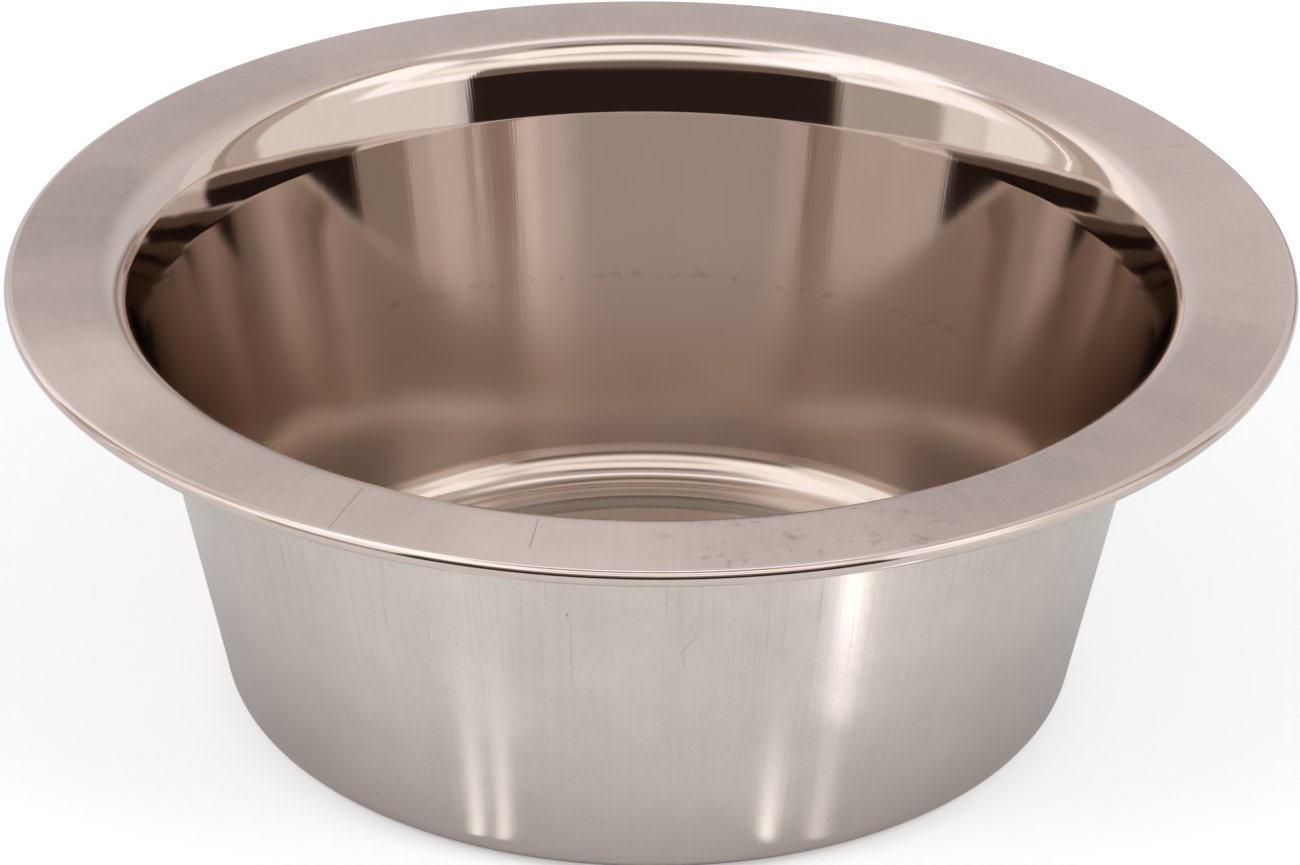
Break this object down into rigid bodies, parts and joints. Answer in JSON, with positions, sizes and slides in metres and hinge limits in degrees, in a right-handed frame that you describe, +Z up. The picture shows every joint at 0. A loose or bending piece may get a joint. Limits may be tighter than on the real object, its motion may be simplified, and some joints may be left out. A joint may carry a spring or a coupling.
{
  "type": "feeding bowl",
  "caption": "Round stainless steel feeding bowl with a tapered wall, a flat brim, a rolled edge and a slightly raised base centre.",
  "frame": {"origin": "on the axis, in the plane that the bowl stands on", "axes": "+Z up along the axis of the bowl; X and Y lie in the plane that it stands on, and the bowl is the same all round"},
  "size_m": [0.24, 0.24, 0.0866],
  "materials": {
    "polished_edge": "polished stainless steel",
    "satin_brim": "satin stainless steel with fine grinding lines and a few hairline scratches",
    "mirror_sheet": "mirror-polished stainless steel, buffed round the axis",
    "base_sheet": "polished stainless steel with a plain satin centre"
  },
  "bodies": {
    "root": {"rolled_edge": "polished_edge", "brim": "satin_brim", "shoulder": "mirror_sheet", "flare": "mirror_sheet", "crease": "mirror_sheet", "side_wall": "mirror_sheet", "foot_bend": "mirror_sheet", "base": "base_sheet"}
  },
  "joints": []
}
